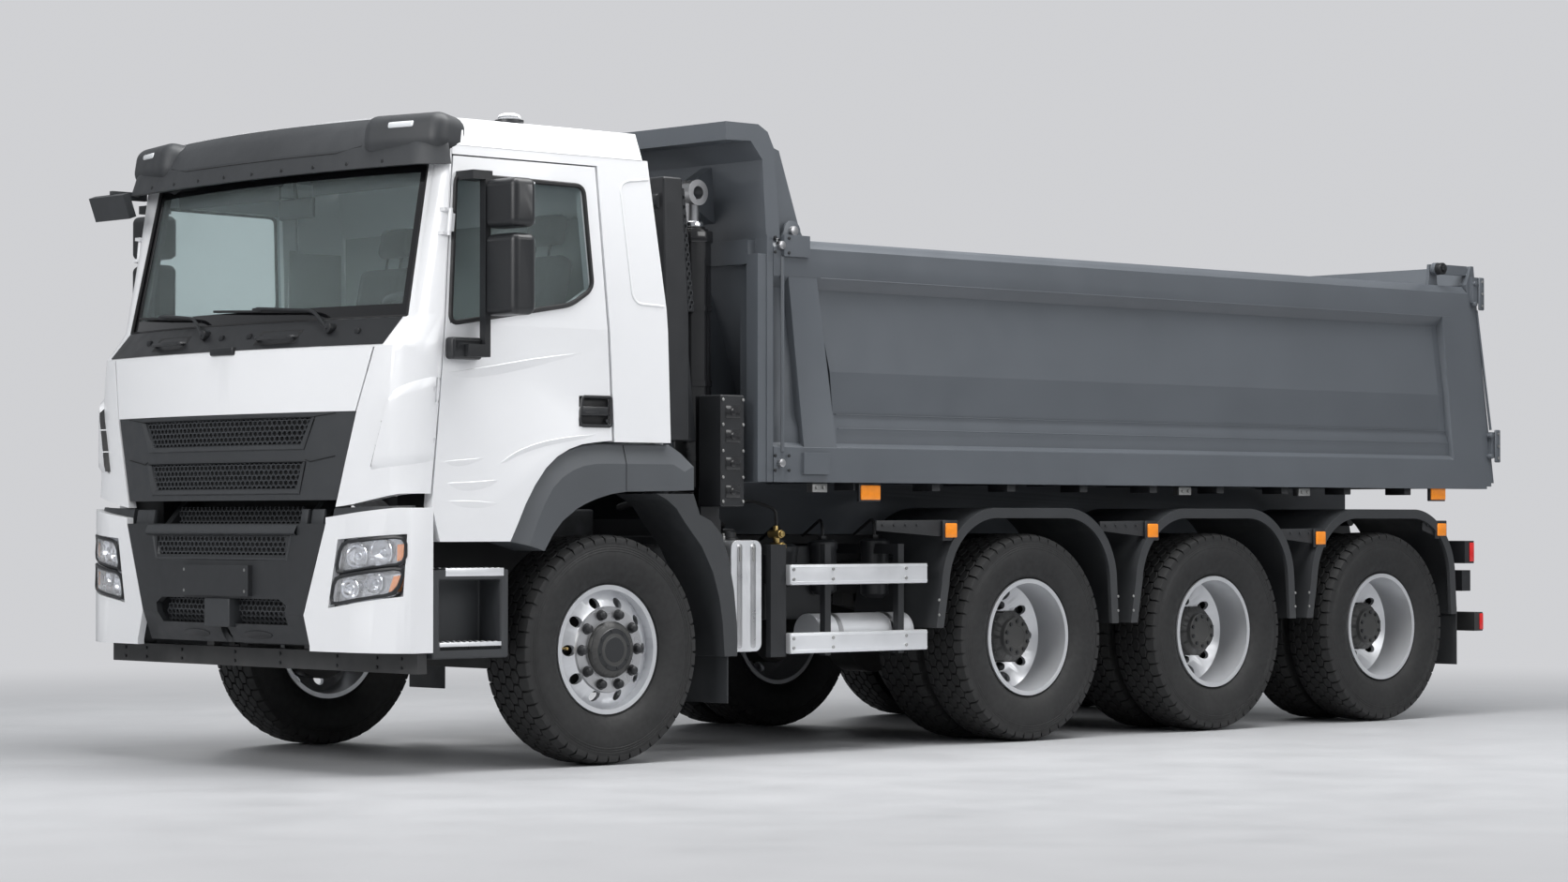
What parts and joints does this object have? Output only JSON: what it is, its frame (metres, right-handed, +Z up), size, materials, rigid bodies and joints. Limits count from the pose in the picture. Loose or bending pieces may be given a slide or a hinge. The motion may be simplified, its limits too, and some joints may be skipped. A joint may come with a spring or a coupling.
{
  "type": "tipper truck",
  "caption": "Heavy tipper truck with a day cab, a steerable front axle, a rear bogie on twin wheels and a steel tipping body raised by front hoists.",
  "frame": {"origin": "on the ground under the middle of the truck's length and width", "axes": "+X forwards, +Y to the driver's left, +Z up"},
  "size_m": [8.1, 3.05, 3.018],
  "materials": {
    "tyre": "matt black rubber",
    "rim": "silver paint",
    "frame": "satin black paint",
    "spring": "satin black paint",
    "engine": "painted casting",
    "tank": "brushed",
    "box": "satin black",
    "guard": "anodised",
    "mudguard": "grained plastic",
    "step": "grained plastic",
    "bumper": "painted plastic",
    "lamp": "clear lens",
    "beam": "satin black paint",
    "paint": "gloss white paint",
    "plastic": "grained plastic",
    "glass": "tinted",
    "seat": "woven",
    "dash": "soft grain",
    "grille": "dark grey plastic",
    "mirror": "grained plastic",
    "steelbody": "satin charcoal paint",
    "hoist": "gloss black paint",
    "rod": "ground chrome",
    "cast": "painted casting"
  },
  "bodies": {
    "chassis": {"chassis_frame": "frame", "axles": "cast", "leaf_springs": "spring", "engine": "engine", "tanks": "tank", "chassis_boxes": "box", "side_guards": "guard", "rear_mudguards": "mudguard", "front_mudguards": "mudguard", "cab_steps": "step", "bumper": "bumper", "lamps": "lamp", "underrun_beams": "beam"},
    "cab": {"cab_floor": "frame", "cab_front": "paint", "windscreen": "glass", "cowl": "plastic", "cab_roof": "paint", "cab_rear_shell": "paint", "wheel_arches": "mudguard", "air_intake": "plastic", "sun_visor": "plastic", "seats": "seat", "dashboard": "dash"},
    "nose_lid": {"hood_panel": "paint", "grille": "grille"},
    "left_door": {"door_left": "paint", "door_left_glass": "glass", "door_left_mirrors": "mirror"},
    "right_door": {"door_right": "paint", "door_right_glass": "glass", "door_right_mirrors": "mirror"},
    "left_knuckle": {"knuckle_left": "cast"},
    "right_knuckle": {"knuckle_right": "cast"},
    "front_left_wheel": {"front_left_tyre": "tyre", "front_left_rim": "rim"},
    "front_right_wheel": {"front_right_tyre": "tyre", "front_right_rim": "rim"},
    "axle2_left_wheels": {"axle2_left_tyres": "tyre", "axle2_left_rims": "rim"},
    "axle2_right_wheels": {"axle2_right_tyres": "tyre", "axle2_right_rims": "rim"},
    "axle3_left_wheels": {"axle3_left_tyres": "tyre", "axle3_left_rims": "rim"},
    "axle3_right_wheels": {"axle3_right_tyres": "tyre", "axle3_right_rims": "rim"},
    "axle4_left_wheels": {"axle4_left_tyres": "tyre", "axle4_left_rims": "rim"},
    "axle4_right_wheels": {"axle4_right_tyres": "tyre", "axle4_right_rims": "rim"},
    "load_body": {"bed_floor": "steelbody", "bed_sides": "steelbody", "bed_headboard": "steelbody"},
    "tailgate": {"tailgate": "steelbody"},
    "hoist_barrel": {"hoist_barrels": "hoist"},
    "hoist_stage_1": {"hoist_stage_1": "rod"},
    "hoist_stage_2": {"hoist_stage_2": "rod"},
    "hoist_stage_3": {"hoist_stage_3": "rod"},
    "hoist_stage_4": {"hoist_stage_4": "rod"}
  },
  "joints": [
    {"name": "cab_tilt", "type": "hinge", "parent": "chassis", "child": "cab", "pos_m": [3.925, 0, 1.06], "axis": [0, 1, 0], "range_deg": [0, 55]},
    {"name": "nose_lid_open", "type": "hinge", "parent": "cab", "child": "nose_lid", "pos_m": [4.002, 0, 1.9], "axis": [0, -1, 0], "range_deg": [0, 70]},
    {"name": "left_door_open", "type": "hinge", "parent": "cab", "child": "left_door", "pos_m": [3.71681, 1.236, 1.7], "axis": [0.0941, 0, -0.9956], "range_deg": [0, 70]},
    {"name": "right_door_open", "type": "hinge", "parent": "cab", "child": "right_door", "pos_m": [3.71681, -1.236, 1.7], "axis": [-0.0941, 0, 0.9956], "range_deg": [0, 70]},
    {"name": "left_steer", "type": "hinge", "parent": "chassis", "child": "left_knuckle", "pos_m": [2.69, 0.93, 0.53], "axis": [0, 0, 1], "range_deg": [-35, 35]},
    {"name": "right_steer", "type": "hinge", "parent": "chassis", "child": "right_knuckle", "pos_m": [2.69, -0.93, 0.53], "axis": [0, 0, 1], "range_deg": [-35, 35]},
    {"name": "front_left_spin", "type": "hinge", "parent": "left_knuckle", "child": "front_left_wheel", "pos_m": [2.69, 1.08, 0.53], "axis": [0, 1, 0], "continuous": true},
    {"name": "front_right_spin", "type": "hinge", "parent": "right_knuckle", "child": "front_right_wheel", "pos_m": [2.69, -1.08, 0.53], "axis": [0, 1, 0], "continuous": true},
    {"name": "axle2_left_spin", "type": "hinge", "parent": "chassis", "child": "axle2_left_wheels", "pos_m": [-0.11, 0.937, 0.53], "axis": [0, 1, 0], "continuous": true},
    {"name": "axle2_right_spin", "type": "hinge", "parent": "chassis", "child": "axle2_right_wheels", "pos_m": [-0.11, -0.937, 0.53], "axis": [0, 1, 0], "continuous": true},
    {"name": "axle3_left_spin", "type": "hinge", "parent": "chassis", "child": "axle3_left_wheels", "pos_m": [-1.56, 0.937, 0.53], "axis": [0, 1, 0], "continuous": true},
    {"name": "axle3_right_spin", "type": "hinge", "parent": "chassis", "child": "axle3_right_wheels", "pos_m": [-1.56, -0.937, 0.53], "axis": [0, 1, 0], "continuous": true},
    {"name": "axle4_left_spin", "type": "hinge", "parent": "chassis", "child": "axle4_left_wheels", "pos_m": [-3.01, 0.937, 0.53], "axis": [0, 1, 0], "continuous": true},
    {"name": "axle4_right_spin", "type": "hinge", "parent": "chassis", "child": "axle4_right_wheels", "pos_m": [-3.01, -0.937, 0.53], "axis": [0, 1, 0], "continuous": true},
    {"name": "body_tip", "type": "hinge", "parent": "chassis", "child": "load_body", "pos_m": [-3.61, 0, 1.13], "axis": [0, -1, 0], "range_deg": [0, 50]},
    {"name": "tailgate_swing", "type": "hinge", "parent": "load_body", "child": "tailgate", "pos_m": [-3.53, 0, 2.573], "axis": [0, 1, 0], "range_deg": [0, 55]},
    {"name": "hoist_swing", "type": "hinge", "parent": "chassis", "child": "hoist_barrel", "pos_m": [1.956, 0, 1.24], "axis": [0, -1, 0], "range_deg": [0, 32.7]},
    {"name": "hoist_extend_1", "type": "slide", "parent": "hoist_barrel", "child": "hoist_stage_1", "axis": [0, 0, 1], "range_m": [0, 1.157]},
    {"name": "hoist_extend_2", "type": "slide", "parent": "hoist_stage_1", "child": "hoist_stage_2", "axis": [0, 0, 1], "range_m": [0, 1.157]},
    {"name": "hoist_extend_3", "type": "slide", "parent": "hoist_stage_2", "child": "hoist_stage_3", "axis": [0, 0, 1], "range_m": [0, 1.157]},
    {"name": "hoist_extend_4", "type": "slide", "parent": "hoist_stage_3", "child": "hoist_stage_4", "axis": [0, 0, 1], "range_m": [0, 1.157]}
  ],
  "couplings": [
    {"joint": "right_steer", "follows": "left_steer", "ratio": 1},
    {"joint": "hoist_swing", "follows": "body_tip", "ratio": 0.6342},
    {"joint": "hoist_extend_1", "follows": "body_tip", "m_per_rad": 1.3206},
    {"joint": "hoist_extend_2", "follows": "body_tip", "m_per_rad": 1.3206},
    {"joint": "hoist_extend_3", "follows": "body_tip", "m_per_rad": 1.3206},
    {"joint": "hoist_extend_4", "follows": "body_tip", "m_per_rad": 1.3206}
  ]
}
